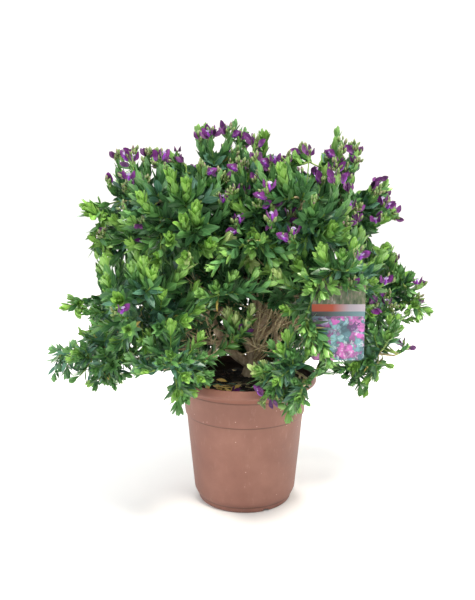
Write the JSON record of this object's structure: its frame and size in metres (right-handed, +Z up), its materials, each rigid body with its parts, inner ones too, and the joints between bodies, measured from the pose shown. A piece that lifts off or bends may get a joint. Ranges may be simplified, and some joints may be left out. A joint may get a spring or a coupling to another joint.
{
  "type": "potted polygala",
  "caption": "Bushy polygala shrub with leafy upright shoots and purple pea-like blossom, growing in a round terracotta-coloured plastic pot with a hanging plant label.",
  "frame": {"origin": "centre of the pot's flat underside, which stands on the ground", "axes": "+Z up, -Y to the front of the plant where the label hangs, +X to the right seen from the front"},
  "size_m": [0.5625, 0.4583, 0.5793],
  "materials": {
    "pot": "matte terracotta-brown moulded plastic with small pale specks",
    "compost": "dark moist peat and bark compost",
    "bark": "grey-brown rough bark",
    "foliage": "satin green leaves, yellow-green at the shoot tips",
    "blossom": "soft purple-magenta petals",
    "label": "printed glossy plastic card"
  },
  "bodies": {
    "root": {"pot": "pot", "compost": "compost", "trunk": "bark", "limb_left": "bark", "limb_back_left": "bark", "limb_front_left": "bark", "limb_right": "bark", "limb_back_right": "bark", "limb_front_right": "bark", "bough_waist_left": "bark", "bough_skirt_left": "bark", "bough_waist_back_left": "bark", "bough_skirt_back_left": "bark", "bough_waist_front_left": "bark", "bough_skirt_front_left": "bark", "bough_waist_right": "bark", "bough_skirt_right": "bark", "bough_waist_back_right": "bark", "bough_skirt_back_right": "bark", "bough_waist_front_right": "bark", "bough_skirt_front_right": "bark", "bough_top_left": "bark", "bough_top_right": "bark", "bough_top_front": "bark", "bough_top_back": "bark", "shoulder_left": "foliage", "waist_left": "foliage", "skirt_left": "foliage", "shoulder_back_left": "foliage", "waist_back_left": "foliage", "skirt_back_left": "foliage", "shoulder_front_left": "foliage", "waist_front_left": "foliage", "skirt_front_left": "foliage", "shoulder_right": "foliage", "waist_right": "foliage", "skirt_right": "foliage", "shoulder_back_right": "foliage", "waist_back_right": "foliage", "skirt_back_right": "foliage", "shoulder_front_right": "foliage", "waist_front_right": "foliage", "skirt_front_right": "foliage", "top_left": "foliage", "top_right": "foliage", "top_front": "foliage", "top_back": "foliage", "label": "label"}
  },
  "joints": []
}
